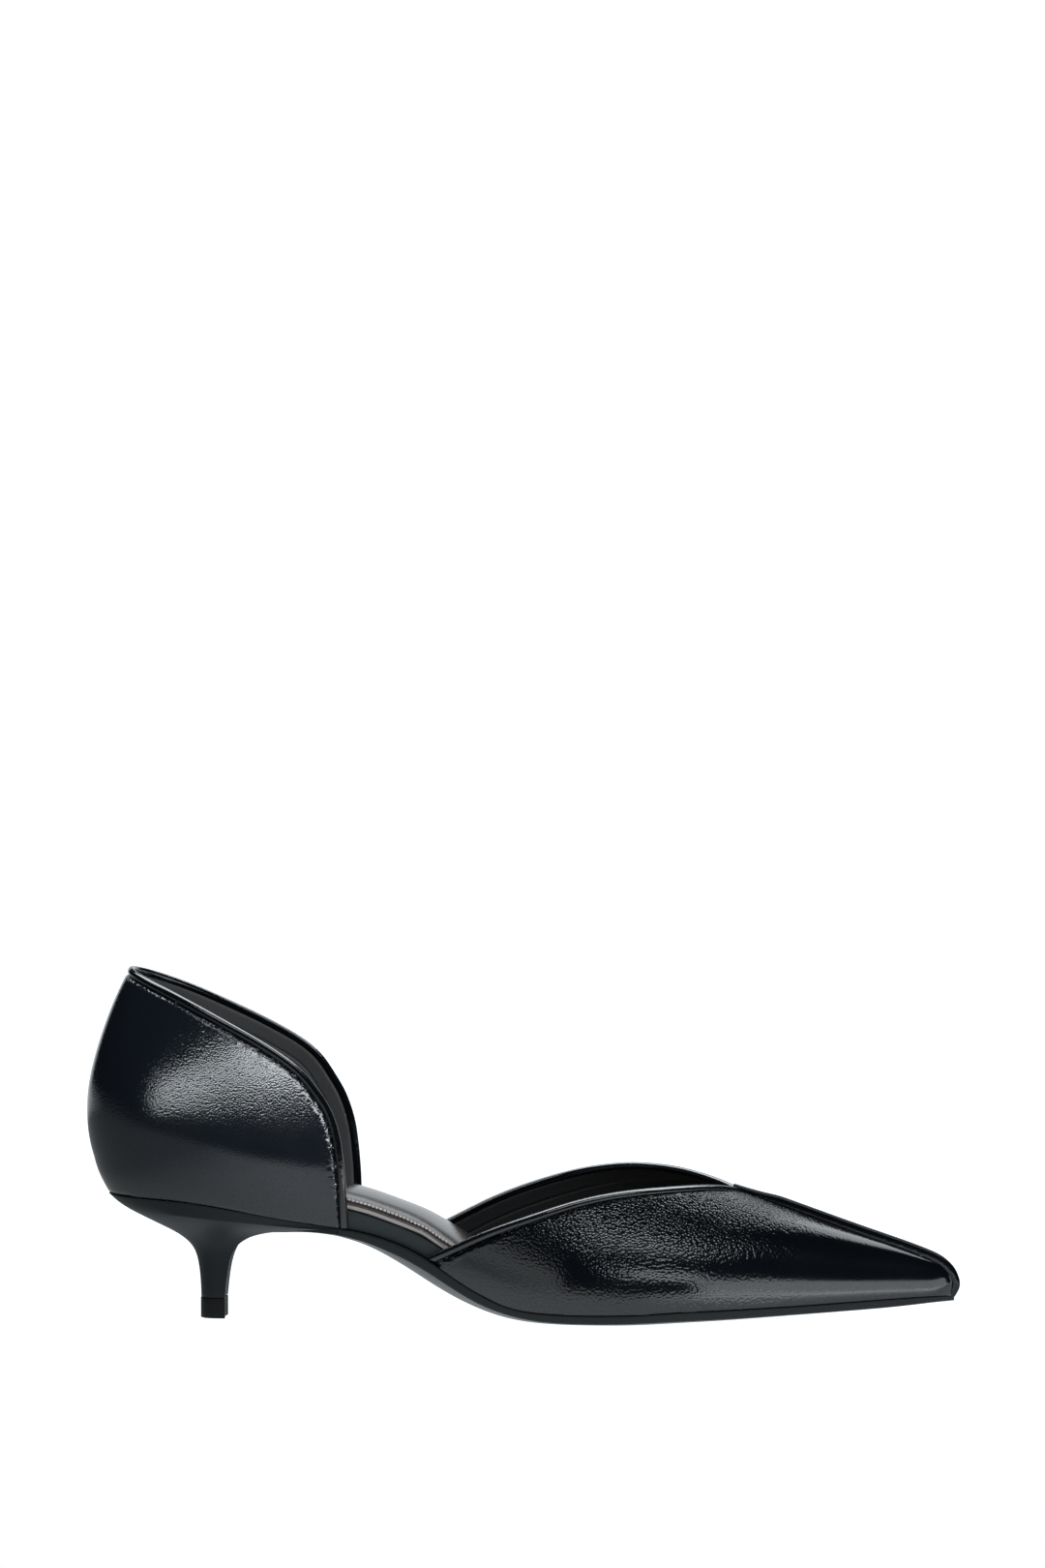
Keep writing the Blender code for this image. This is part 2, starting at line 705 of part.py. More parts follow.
def insole_top(x, y):
    dome = SOCK_DOME * (1.0 - share_of(insole_half, x, y) ** 2)
    return insole_foot(x, y) + INSOLE["height"](x) + dome


def make_insole(finish):
    stations = footbed_stations(INSOLE_INSET, INSOLE_FRONT)
    under_skin = across_skin(stations, INSOLE_COLUMNS, insole_half, insole_foot)
    top_skin = across_skin(stations, INSOLE_COLUMNS, insole_half, insole_top)
    return solid_between("insole", top_skin, under_skin, finish)


def make_sock(finish):
    def under(x, y):
        return insole_top(x, y) + GAP

    def top(x, y):
        return under(x, y) + SOCK_THICK

    stations = footbed_stations(INSOLE_INSET + SOCK_INSET, SOCK_FRONT)
    under_skin = across_skin(stations, INSOLE_COLUMNS, sock_half, under)
    top_skin = across_skin(stations, INSOLE_COLUMNS, sock_half, top)
    return solid_between("sock_lining", top_skin, under_skin, finish)


def heel_level(back, breast_x, tip, half):
    """Outside and notch of one level of the heel, each from the outer wing's point to the inner one's."""
    length = tip.x - back.x
    nose = NOSE_SHARE * length
    run = nose * math.pi / 2 + (length - nose)
    outer_edge, inner_edge = [], []
    for k in range(HEEL_COLUMNS + 1):
        share = 2.0 * k / HEEL_COLUMNS - 1.0
        side = math.copysign(1.0, share)
        girth = abs(share) * run
        angle = min(girth / (nose * math.pi / 2), 1.0) * math.pi / 2
        x = back.x + nose * (1.0 - math.cos(angle)) + max(girth - nose * math.pi / 2, 0.0)
        z = back.z + (tip.z - back.z) * (x - back.x) / length
        y = side * half * math.sin(angle)
        outer_edge.append(Vector((x, y, z)))
        notch_y = share * max(half - WING_TIP, STEM_SHARE * half)
        notch_x = breast_x + (tip.x - breast_x) * abs(share) ** WING_POWER
        notch_z = back.z + (tip.z - back.z) * (notch_x - back.x) / length
        inner_edge.append(Vector((notch_x, notch_y, notch_z)))
    return outer_edge, inner_edge


def on_seat(point):
    """Move a point of the heel's first level on to the seat, under the upper."""
    return Vector((point.x, point.y, FEATHER["z"](point.x) - GAP / 2))


def seat_level():
    """First level of the heel, which follows the feather outline."""
    back = Vector((FEATHER_BACK + SOLE_INSET, 0.0, 0.0))
    tip = Vector((SEAT_TIP_X, 0.0, 0.0))
    outer_edge, inner_edge = heel_level(back, SEAT_BREAST_X, tip, SEAT_HALF - SOLE_INSET)
    for edge in (outer_edge, inner_edge):
        for k, point in enumerate(edge):
            side = "outer" if point.y < 0.0 else "inner"
            narrow = FEATHER[side](point.x) / SEAT_HALF
            edge[k] = on_seat(Vector((point.x, point.y * narrow, 0.0)))
    return outer_edge, inner_edge


def make_heel(finish):
    levels = [seat_level()]
    for row in HEEL_LEVELS:
        level = dict(zip(HEEL_LEVEL_COLUMNS.split(), (value * MM for value in row)))
        back = Vector((level["back_x"], 0.0, level["back_z"]))
        tip = Vector((level["tip_x"], 0.0, level["tip_z"]))
        levels.append(heel_level(back, level["breast_x"], tip, level["half"]))
    outer_skin = [outer_edge for outer_edge, _ in levels]
    inner_skin = [inner_edge for _, inner_edge in levels]
    return solid_between("heel", outer_skin, inner_skin, finish)


def make_top_lift(finish):
    last = dict(zip(HEEL_LEVEL_COLUMNS.split(), (value * MM for value in HEEL_LEVELS[-1])))
    outer_skin, inner_skin = [], []
    for z in (LIFT_HEIGHT, 0.0):
        back = Vector((last["back_x"] - LIFT_OVERHANG, 0.0, z))
        tip = Vector((last["tip_x"], 0.0, z))
        outer_edge, inner_edge = heel_level(back, last["breast_x"], tip, last["half"] + LIFT_OVERHANG)
        outer_skin.append(outer_edge)
        inner_skin.append(inner_edge)
    return solid_between("top_lift", outer_skin, inner_skin, finish)


def centre_on_floor(pieces):
    """Hang the pieces on an empty and move it so that the shoe stands on z = 0, centred on the origin."""
    shoe = bpy.data.objects.new("shoe", None)
    bpy.context.scene.collection.objects.link(shoe)
    points = [vertex.co for piece in pieces for vertex in piece.data.vertices]
    low = Vector([min(point[axis] for point in points) for axis in range(3)])
    high = Vector([max(point[axis] for point in points) for axis in range(3)])
    shoe.location = Vector((-(low.x + high.x) / 2, -(low.y + high.y) / 2, -low.z))
    for piece in pieces:
        piece.parent = shoe


def main():
    clear_scene()
    leather = material("black_leather", (0.006, 0.007, 0.009), 0.36)
    edge_leather = material("black_edge_leather", (0.005, 0.006, 0.007), 0.3)
    wrap = material("slate_wrap", (0.02, 0.022, 0.025), 0.45)
    sock_leather = material("taupe_sock_leather", (0.07, 0.055, 0.05), 0.32)
    sole_leather = material("black_sole", (0.018, 0.02, 0.021), 0.45)
    rubber = material("black_rubber", (0.011, 0.011, 0.011), 0.6)
    quarter, quarter_grids = make_quarter(leather)
    vamp, vamp_grids = make_vamp(leather)
    pieces = [
        quarter,
        vamp,
        make_quarter_binding(quarter_grids, edge_leather),
        make_vamp_binding(vamp_grids, edge_leather),
        make_toe_seam(edge_leather),
        make_insole(wrap),
        make_sock(sock_leather),
        make_outsole(sole_leather),
        make_heel(sole_leather),
        make_top_lift(rubber),
    ]
    centre_on_floor(pieces)


main()
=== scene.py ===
import math

import bpy
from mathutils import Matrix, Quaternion, Vector
from mathutils.bvhtree import BVHTree


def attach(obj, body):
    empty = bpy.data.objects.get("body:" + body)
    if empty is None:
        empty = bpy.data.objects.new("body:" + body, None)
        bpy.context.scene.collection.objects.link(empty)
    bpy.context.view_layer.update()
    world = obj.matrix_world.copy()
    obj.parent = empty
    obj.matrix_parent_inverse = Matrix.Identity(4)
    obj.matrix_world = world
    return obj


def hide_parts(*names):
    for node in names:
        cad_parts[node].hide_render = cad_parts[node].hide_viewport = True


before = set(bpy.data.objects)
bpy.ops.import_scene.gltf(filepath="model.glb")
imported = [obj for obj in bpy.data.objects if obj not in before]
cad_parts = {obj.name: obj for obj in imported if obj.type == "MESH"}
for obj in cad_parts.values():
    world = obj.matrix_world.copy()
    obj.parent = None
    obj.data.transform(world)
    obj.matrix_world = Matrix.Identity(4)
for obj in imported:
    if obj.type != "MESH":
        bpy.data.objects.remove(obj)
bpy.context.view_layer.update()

# The shoe's sizes, in metres in the frame of the solids: toe to +X, outer side to -Y
MM = 0.001
MERGE = 0.001 * MM
QUARTER_MIDDLE = Vector((-0.087, 0.0, 0.07))
VAMP_MIDDLE = Vector((0.0, 0.003, 0.012))
THROAT = (64.0 * MM, 68.0 * MM)
STITCH_PITCH = 1.25 * MM
STITCH_INSET = 1.1 * MM
EDGE_REACH = 1.2 * MM
PRESS_FADE = 12 * MM
SOCK_CROWN = 2.0 * MM
SOCK_CROWN_REACH = 8.5 * MM

# The photograph's camera: turned to the toe, a little above the shoe, far off
TURN = math.radians(4.0)
LIFT = math.radians(6.2)
FAR = 3.2
PHOTO_WIDE, PHOTO_TALL = 1080, 1620
PX_PER_M = 3407.0
SHOE_MIDDLE = Vector((0.0, 0.0, 0.0532))
SHOE_PX = (539.4, 1182.3)
FILM = 36.0

# The studio sweep, and the white of its lamps
SWEEP_WIDE, SWEEP_DEEP, SWEEP_TALL = 8.0, 6.0, 3.0
SWEEP_FRONT = 0.38
SWEEP_DROP = 0.02 * MM
SWEEP_CURVE = 1.2
LAMP_WHITE = "#F4FBFF"

CALF_BLACK = "#0A0D11"
SMOOTH_ANGLE = math.radians(40)


# Small helpers of the workbench


def pick(*objects):
    """Select these objects alone, the last one active."""
    bpy.ops.object.select_all(action="DESELECT")
    for one in objects:
        one.select_set(True)
    bpy.context.view_layer.objects.active = objects[-1]


def choose(piece, parts, test):
    """Open a piece for editing with only the faces or edges that a test picks selected."""
    pick(piece)
    bpy.ops.object.mode_set(mode="EDIT")
    bpy.ops.mesh.select_mode(type=parts)
    bpy.ops.mesh.select_all(action="DESELECT")
    bpy.ops.object.mode_set(mode="OBJECT")
    for part in piece.data.polygons if parts == "FACE" else piece.data.edges:
        part.select = test(part)
    bpy.ops.object.mode_set(mode="EDIT")


def close():
    """Put the piece that is open down again with nothing selected."""
    bpy.ops.mesh.select_all(action="DESELECT")
    bpy.ops.object.mode_set(mode="OBJECT")


def shift_faces(piece, test, by, reach=0.0):
    """Move the faces that a test picks, and softly what lies within reach of them."""
    choose(piece, "FACE", test)
    bpy.ops.transform.translate(value=by, use_proportional_edit=reach > 0.0,
                                proportional_edit_falloff="SMOOTH", proportional_size=max(reach, MM))
    close()


def copy_node(node, name):
    """A copy of a solid as a new piece, its loose triangles merged into four-sided faces."""
    piece = bpy.data.objects.new(name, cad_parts[node].data.copy())
    bpy.context.collection.objects.link(piece)
    piece.data.materials.clear()
    pick(piece)
    bpy.ops.mesh.customdata_custom_splitnormals_clear()
    bpy.ops.object.mode_set(mode="EDIT")
    bpy.ops.mesh.select_all(action="SELECT")
    bpy.ops.mesh.remove_doubles(threshold=MERGE)
    bpy.ops.mesh.tris_convert_to_quads(
        face_threshold=math.radians(50), shape_threshold=math.radians(60))
    close()
    return piece


def hold_edges(piece, angle, firmness=1.0):
    """Keep the edges that turn more than this angle crisp while the piece is rounded."""
    pick(piece)
    bpy.ops.object.mode_set(mode="EDIT")
    bpy.ops.mesh.select_mode(type="EDGE")
    bpy.ops.mesh.select_all(action="DESELECT")
    bpy.ops.mesh.edges_select_sharp(sharpness=math.radians(angle))
    bpy.ops.transform.edge_crease(value=firmness)
    close()


def apply_modifier(piece, kind, **settings):
    """Put a modifier on a piece and apply it at once."""
    pick(piece)
    step = piece.modifiers.new(kind.lower(), kind)
    for key, value in settings.items():
        setattr(step, key, value)
    bpy.ops.object.modifier_apply(modifier=step.name)


def swell(piece, amount):
    """Push a whole piece out along its normals."""
    pick(piece)
    bpy.ops.object.mode_set(mode="EDIT")
    bpy.ops.mesh.select_all(action="SELECT")
    bpy.ops.transform.shrink_fatten(value=amount)
    close()


def line_inside(piece, middle, squash):
    """Give the second finish to the faces of a wall that look at the foot."""
    for face in piece.data.polygons:
        out = (face.center - middle) * Vector(squash)
        if face.normal.dot(out) < 0:
            face.material_index = 1


def skin(node):
    """The surface of a solid, to measure from."""
    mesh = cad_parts[node].data
    return BVHTree.FromPolygons([v.co for v in mesh.vertices], [f.vertices for f in mesh.polygons])


def write_gap(piece, surface, name="gap"):
    """Write on each point of a piece how far it lies from a surface, in metres."""
    gap = piece.data.attributes.new(name, "FLOAT", "POINT")
    gap.data.foreach_set("value", [surface.find_nearest(v.co)[3] for v in piece.data.vertices])


def tuck_under(piece, surface, border, depth):
    """Carry the faces that look at a neighbour's surface on into it, so that the ditch is closed."""
    def looks_at_it(face):
        near, _, _, gap = surface.find_nearest(face.center)
        return gap < EDGE_REACH and (near - face.center).normalized().dot(face.normal) > 0.7

    choose(piece, "FACE", looks_at_it)
    bpy.ops.mesh.inset(thickness=border, depth=depth)
    close()


def press(piece, surface, reach, depth, lumps=None, until=1.0):
    """Turn the outside of a wall in beside a surface, round as a shoulder, or gather it into lumps.

    The press dies away over PRESS_FADE before it comes to the given X.
    """
    lined = {i for face in piece.data.polygons if face.material_index == 1 for i in face.vertices}
    beside = piece.vertex_groups.new(name="beside")
    for point in piece.data.vertices:
        near, _, _, gap = surface.find_nearest(point.co)
        aside = (near - point.co).normalized().dot(point.normal) < 0.6
        if gap < reach and aside and point.index not in lined:
            pull = 1.0 - gap / reach
            weight = pull if lumps else 1.0 - math.sqrt(1.0 - pull * pull)
            fade = min(1.0, max(0.0, (until - point.co.x) / PRESS_FADE))
            beside.add([point.index], weight * fade, "REPLACE")
    apply_modifier(piece, "DISPLACE", vertex_group="beside", strength=depth, texture=lumps,
                   mid_level=0.5 if lumps else 0.0, texture_coords="LOCAL")
    piece.vertex_groups.remove(piece.vertex_groups["beside"])


def draw_out(pieces, counts, move):
    """Draw pieces into shape together with one cage, whose points are moved by a rule."""
    corners = [Vector(corner) for piece in pieces for corner in piece.bound_box]
    low = Vector([min(c[i] for c in corners) for i in range(3)])
    span = Vector([max(c[i] for c in corners) for i in range(3)]) - low
    bpy.ops.object.select_all(action="DESELECT")
    bpy.ops.object.add(type="LATTICE", location=low + span / 2)
    cage = bpy.context.active_object
    cage.scale = span
    cage.data.points_u, cage.data.points_v, cage.data.points_w = counts
    for axis in "uvw":
        setattr(cage.data, "interpolation_type_" + axis, "KEY_LINEAR")
    for point in cage.data.points:
        step = move(point.co + Vector((0.5, 0.5, 0.5)))
        point.co_deform = [point.co[i] + step[i] / span[i] for i in range(3)]
    bpy.context.view_layer.update()
    for piece in pieces:
        apply_modifier(piece, "LATTICE", object=cage)
    bpy.data.objects.remove(cage)


def fit(piece, node, slot, *finishes):
    """Finish a piece and set it in the frame in place of its solid."""
    for finish in finishes:
        piece.data.materials.append(finish)
    pick(piece)
    bpy.ops.object.shade_smooth_by_angle(angle=SMOOTH_ANGLE)
    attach(piece, "root")
    if node:
        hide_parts(node)


# Finishes


def colour(hexes):
    """An sRGB hex colour as linear red, green, blue and alpha."""
    parts = [int(hexes[i:i + 2], 16) / 255 for i in (1, 3, 5)]
    return [p / 12.92 if p <= 0.04045 else ((p + 0.055) / 1.055) ** 2.4 for p in parts] + [1.0]


def put(tree, kind, inputs, **settings):
    """Add a node with its settings, and give each named input a value or another node's output."""
    made = tree.nodes.new("ShaderNode" + kind)
    for key, value in settings.items():
        setattr(made, key, value)
    for key, value in inputs.items():
        if isinstance(value, bpy.types.NodeSocket):
            tree.links.new(value, made.inputs[key])
        else:
            made.inputs[key].default_value = value
    return made


def new_finish(name, looks):
    """A named material and its shader, with the values that are the same all over."""
    finish = bpy.data.materials.new(name)
    finish.use_nodes = True
    shader = finish.node_tree.nodes["Principled BSDF"]
    for key, value in looks.items():
        shader.inputs[key].default_value = value
    return finish, finish.node_tree, shader


def black_calf(name, grain, taut, loose):
    """Finished calf with a wax shine: near black, its highlights broken up by fine pebble grain.

    The grain is its pebbles' width. The painted crease shade deepens from the taut to the loose value of
    the slack.
    """
    finish, tree, shader = new_finish(name, {"Base Color": colour(CALF_BLACK), "IOR": 1.5})
    spot = put(tree, "TexCoord", {}).outputs["Object"]
    # Pebbles as wide as the grain, round on top, with fine creases between them
    pebble = put(tree, "TexVoronoi", {"Vector": spot, "Scale": 1 / grain}, feature="F1")
    crown = put(tree, "Math", {0: pebble.outputs["Distance"], 1: 2.0}, operation="POWER")
    # The grain opens where the foot bends the vamp, and is pulled flat over the toe, the heel's
    # stiffener and near the sole
    along = put(tree, "SeparateXYZ", {"Vector": spot})
    cup = put(tree, "MapRange", {"Value": along.outputs["Z"], "From Min": 55 * MM, "From Max": 69 * MM,
                                 "To Min": 0.05, "To Max": 0.21}, interpolation_type="SMOOTHSTEP")
    bend = put(tree, "MapRange", {"Value": along.outputs["X"], "From Min": -22 * MM, "From Max": 16 * MM,
                                  "To Min": cup.outputs["Result"], "To Max": 1.0},
               interpolation_type="SMOOTHSTEP")
    toe = put(tree, "MapRange", {"Value": along.outputs["X"], "From Min": 60 * MM, "From Max": 100 * MM,
                                 "To Min": 1.0, "To Max": 0.12}, interpolation_type="SMOOTHSTEP")
    foot = put(tree, "MapRange", {"Value": along.outputs["Z"], "From Min": 16 * MM, "From Max": 36 * MM,
                                  "To Min": 0.14, "To Max": 1.0}, interpolation_type="SMOOTHSTEP")
    above = put(tree, "Math", {0: bend.outputs["Result"], 1: toe.outputs["Result"]}, operation="MULTIPLY")
    slack = put(tree, "Math", {0: above.outputs["Value"], 1: foot.outputs["Result"]}, operation="MULTIPLY")
    relief = put(tree, "Bump", {"Height": crown.outputs["Value"], "Strength": slack.outputs["Value"],
                                "Distance": 0.3 * grain}, invert=True)
    # Painted shade and highlight: the specular level is lowered in the creases between the pebbles, and
    # raised on the tops of open grain
    rim = put(tree, "TexVoronoi", {"Vector": spot, "Scale": 1 / grain}, feature="DISTANCE_TO_EDGE")
    painted_crease_shade = put(tree, "MapRange", {"Value": slack.outputs["Value"], "From Min": taut, "From Max": loose,
                                    "To Min": 0.5, "To Max": 0.03})
    crest = put(tree, "MapRange", {"Value": slack.outputs["Value"], "From Min": 0.3,
                                   "To Min": 0.6, "To Max": 1.0})
    gloss = put(tree, "MapRange", {"Value": rim.outputs["Distance"], "From Max": 0.26,
                                   "To Min": painted_crease_shade.outputs["Result"], "To Max": crest.outputs["Result"]},
                interpolation_type="SMOOTHSTEP")
    tree.links.new(gloss.outputs["Result"], shader.inputs["Specular IOR Level"])
    # Beside the rolled edge the stitching leaves fine creases between the puckers
    gap = put(tree, "Attribute", {}, attribute_name="gap")
    pull = put(tree, "MapRange", {"Value": gap.outputs["Fac"], "From Min": 0.3 * MM, "From Max": 2.2 * MM,
                                  "To Min": 1.0, "To Max": 0.0}, interpolation_type="SMOOTHSTEP")
    pucker = put(tree, "TexNoise", {"Vector": spot, "Scale": 1 / (1.1 * MM), "Detail": 1.0})
    gather = put(tree, "Bump", {"Height": pucker.outputs["Fac"], "Strength": pull.outputs["Result"],
                                "Distance": 0.5 * MM, "Normal": relief.outputs["Normal"]})
    tree.links.new(gather.outputs["Normal"], shader.inputs["Normal"])
    # Handling leaves the shine a little uneven
    cloud = put(tree, "TexNoise", {"Vector": spot, "Scale": 1 / (14 * MM), "Detail": 3.0})
    shine = put(tree, "MapRange", {"Value": cloud.outputs["Fac"], "To Min": 0.08, "To Max": 0.15})
    tree.links.new(shine.outputs["Result"], shader.inputs["Roughness"])
    return finish


def binding_calf(name, gloss):
    """The same calf skived thin and rolled: smoother and shinier, with faint cross wrinkles."""
    finish, tree, shader = new_finish(name, {
        "Base Color": colour(CALF_BLACK), "Roughness": 0.14, "IOR": 1.5, "Specular IOR Level": gloss})
    spot = put(tree, "TexCoord", {}).outputs["Object"]
    wrinkle = put(tree, "TexNoise", {"Vector": spot, "Scale": 1 / (1.6 * MM), "Detail": 2.0})
    relief = put(tree, "Bump", {"Height": wrinkle.outputs["Fac"], "Strength": 0.3,
                                "Distance": 0.2 * MM})
    tree.links.new(relief.outputs["Normal"], shader.inputs["Normal"])
    return finish


def lining():
    """Microfibre lining: matte black with a short nap."""
    finish, tree, shader = new_finish("black_microfibre_lining", {
        "Base Color": colour("#0E0E0F"), "Roughness": 0.75, "Sheen Weight": 0.1, "Sheen Roughness": 0.5})
    spot = put(tree, "TexCoord", {}).outputs["Object"]
    nap = put(tree, "TexNoise", {"Vector": spot, "Scale": 1 / (0.9 * MM), "Detail": 3.0})
    # One stitch line runs 4.5 mm under the edge
    gap = put(tree, "Attribute", {}, attribute_name="gap")
    off = put(tree, "Math", {0: gap.outputs["Fac"], 1: 4.5 * MM}, operation="SUBTRACT")
    away = put(tree, "Math", {0: off.outputs["Value"]}, operation="ABSOLUTE")
    groove = put(tree, "MapRange", {"Value": away.outputs["Value"], "From Min": 0.0, "From Max": 0.7 * MM},
                 interpolation_type="SMOOTHSTEP")
    relief = put(tree, "Bump", {"Height": nap.outputs["Fac"], "Strength": 0.3, "Distance": 0.15 * MM})
    trench = put(tree, "Bump", {"Height": groove.outputs["Result"], "Strength": 0.9, "Distance": 0.4 * MM,
                                "Normal": relief.outputs["Normal"]})
    tree.links.new(trench.outputs["Normal"], shader.inputs["Normal"])
    return finish


def insole_wrap():
    """Coated wrap on the insole board: smooth slate with a dull shine."""
    finish, tree, shader = new_finish("coated_insole_wrap", {
        "Base Color": colour("#2D3234"), "Roughness": 0.5, "IOR": 1.48, "Specular IOR Level": 0.35})
    spot = put(tree, "TexCoord", {}).outputs["Object"]
    skin = put(tree, "TexNoise", {"Vector": spot, "Scale": 1 / (1.2 * MM), "Detail": 3.0})
    relief = put(tree, "Bump", {"Height": skin.outputs["Fac"], "Strength": 0.15, "Distance": 0.1 * MM})
    tree.links.new(relief.outputs["Normal"], shader.inputs["Normal"])
    return finish


def sock_leather():
    """Taupe lining leather with a light glaze and a pale cut edge."""
    finish, tree, shader = new_finish("taupe_sock_leather", {
        "Roughness": 0.24, "IOR": 1.5, "Specular IOR Level": 0.5})
    spot = put(tree, "TexCoord", {}).outputs["Object"]
    cloud = put(tree, "TexNoise", {"Vector": spot, "Scale": 1 / (9 * MM), "Detail": 4.0})
    dye = put(tree, "Mix", {"Factor": cloud.outputs["Fac"], "A": colour("#3A2F2D"), "B": colour("#4A3E3B")},
              data_type="RGBA")
    gap = put(tree, "Attribute", {}, attribute_name="gap")
    # Between the pale cut edge and the stitches the colour is mixed towards a dark brown band
    dark_band_mask = put(tree, "MapRange", {"Value": gap.outputs["Fac"], "From Min": 0.35 * MM, "From Max": 0.8 * MM,
                                  "To Min": 1.0, "To Max": 0.0}, interpolation_type="SMOOTHSTEP")
    dark_band_dye = put(tree, "Mix", {"Factor": dark_band_mask.outputs["Result"], "A": dye.outputs["Result"],
                                "B": colour("#1C1614")}, data_type="RGBA")
    cut = put(tree, "MapRange", {"Value": gap.outputs["Fac"], "From Min": 0.05 * MM, "From Max": 0.2 * MM,
                                 "To Min": 1.0, "To Max": 0.0})
    rise = put(tree, "Attribute", {}, attribute_name="rise")
    skived = put(tree, "MapRange", {"Value": rise.outputs["Fac"], "From Min": 0.3 * MM,
                                    "From Max": 0.6 * MM})
    pale = put(tree, "Math", {0: cut.outputs["Result"], 1: skived.outputs["Result"]}, operation="MULTIPLY")
    edge = put(tree, "Mix", {"Factor": pale.outputs["Value"], "A": dark_band_dye.outputs["Result"],
                             "B": colour("#B4ABA8")}, data_type="RGBA")
    tree.links.new(edge.outputs["Result"], shader.inputs["Base Color"])
    pore = put(tree, "TexNoise", {"Vector": spot, "Scale": 1 / (0.9 * MM), "Detail": 3.0})
    relief = put(tree, "Bump", {"Height": pore.outputs["Fac"], "Strength": 0.25, "Distance": 0.12 * MM})
    tree.links.new(relief.outputs["Normal"], shader.inputs["Normal"])
    return finish


def sock_thread():
    """Pale pink polyester thread with a silky shine."""
    finish, tree, shader = new_finish("pale_sock_thread", {
        "Base Color": colour("#EFE6E3"), "Roughness": 0.55, "Sheen Weight": 0.3})
    spot = put(tree, "TexCoord", {}).outputs["Object"]
    ply = put(tree, "TexNoise", {"Vector": spot, "Scale": 1 / (0.3 * MM), "Detail": 1.0})
    relief = put(tree, "Bump", {"Height": ply.outputs["Fac"], "Strength": 0.3, "Distance": 0.08 * MM})
    tree.links.new(relief.outputs["Normal"], shader.inputs["Normal"])
    return finish


def sole_unit():
    """Moulded sole with a painted edge: smooth dark grey with a dull shine."""
    finish, tree, shader = new_finish("moulded_sole_edge", {
        "Base Color": colour("#14181A"), "IOR": 1.5, "Specular IOR Level": 0.32})
    spot = put(tree, "TexCoord", {}).outputs["Object"]
    skin = put(tree, "TexNoise", {"Vector": spot, "Scale": 1 / (2.2 * MM), "Detail": 4.0})
    relief = put(tree, "Bump", {"Height": skin.outputs["Fac"], "Strength": 0.12, "Distance": 0.15 * MM})
    tree.links.new(relief.outputs["Normal"], shader.inputs["Normal"])
    shine = put(tree, "MapRange", {"Value": skin.outputs["Fac"], "To Min": 0.38, "To Max": 0.5})
    tree.links.new(shine.outputs["Result"], shader.inputs["Roughness"])
    return finish


def heel_cover():
    """Lacquered heel: satin dark grey, smooth."""
    finish, tree, shader = new_finish("lacquered_heel", {
        "Base Color": colour("#1B1F21"), "Roughness": 0.55, "IOR": 1.5, "Specular IOR Level": 0.2})
    spot = put(tree, "TexCoord", {}).outputs["Object"]
    skin = put(tree, "TexNoise", {"Vector": spot, "Scale": 1 / (2.5 * MM), "Detail": 3.0})
    relief = put(tree, "Bump", {"Height": skin.outputs["Fac"], "Strength": 0.1, "Distance": 0.12 * MM})
    tree.links.new(relief.outputs["Normal"], shader.inputs["Normal"])
    return finish


def lift_rubber():
    """Hard moulded rubber: matte black with a fine sanded grain."""
    finish, tree, shader = new_finish("hard_lift_rubber", {
        "Base Color": colour("#0C0C0C"), "Roughness": 0.65, "IOR": 1.5, "Specular IOR Level": 0.25})
    spot = put(tree, "TexCoord", {}).outputs["Object"]
    grit = put(tree, "TexNoise", {"Vector": spot, "Scale": 1 / (0.5 * MM), "Detail": 2.0})
    relief = put(tree, "Bump", {"Height": grit.outputs["Fac"], "Strength": 0.3, "Distance": 0.1 * MM})
    tree.links.new(relief.outputs["Normal"], shader.inputs["Normal"])
    return finish


def studio_white():
    """White studio sweep that glows: plain white to the camera, while its painted glow in reflections and
    bounce fades on the heel's side and floods bright in front of the toe.
    """
    finish, tree, shader = new_finish("white_studio_sweep", {
        "Base Color": colour("#999999"), "Roughness": 0.9, "Emission Color": colour(LAMP_WHITE),
        "Specular IOR Level": 0.0})
    spot = put(tree, "TexCoord", {}).outputs["Object"]
    along = put(tree, "SeparateXYZ", {"Vector": spot})
    # Painted light: the glow that rays other than the camera's see is dimmed on the heel's side and floods
    # up to 4.8 times brighter in front of the toe
    fade = put(tree, "MapRange", {"Value": along.outputs["X"], "From Min": -0.22, "From Max": -0.04,
                                  "To Min": 0.2, "To Max": 1.05}, interpolation_type="SMOOTHSTEP")
    back = put(tree, "MapRange", {"Value": along.outputs["Y"], "From Min": 0.3, "From Max": 0.6,
                                  "To Min": 0.0, "To Max": 1.05}, interpolation_type="SMOOTHSTEP")
    even = put(tree, "Math", {0: fade.outputs["Result"], 1: back.outputs["Result"]}, operation="MAXIMUM")
    flood = put(tree, "MapRange", {"Value": along.outputs["X"], "From Min": 0.02, "From Max": 0.3,
                                   "To Min": 1.0, "To Max": 4.8}, interpolation_type="SMOOTHSTEP")
    front = put(tree, "MapRange", {"Value": along.outputs["Y"], "From Min": -0.17, "From Max": -0.06,
                                   "To Min": flood.outputs["Result"], "To Max": 1.0},
                interpolation_type="SMOOTHSTEP")
    reflected_glow = put(tree, "Math", {0: even.outputs["Value"], 1: front.outputs["Result"]}, operation="MULTIPLY")
    seen = put(tree, "LightPath", {}).outputs["Is Camera Ray"]
    glow = put(tree, "Mix", {"Factor": seen, "A": reflected_glow.outputs["Value"], "B": 1.2}, data_type="FLOAT")
    tree.links.new(glow.outputs["Result"], shader.inputs["Emission Strength"])
    return finish


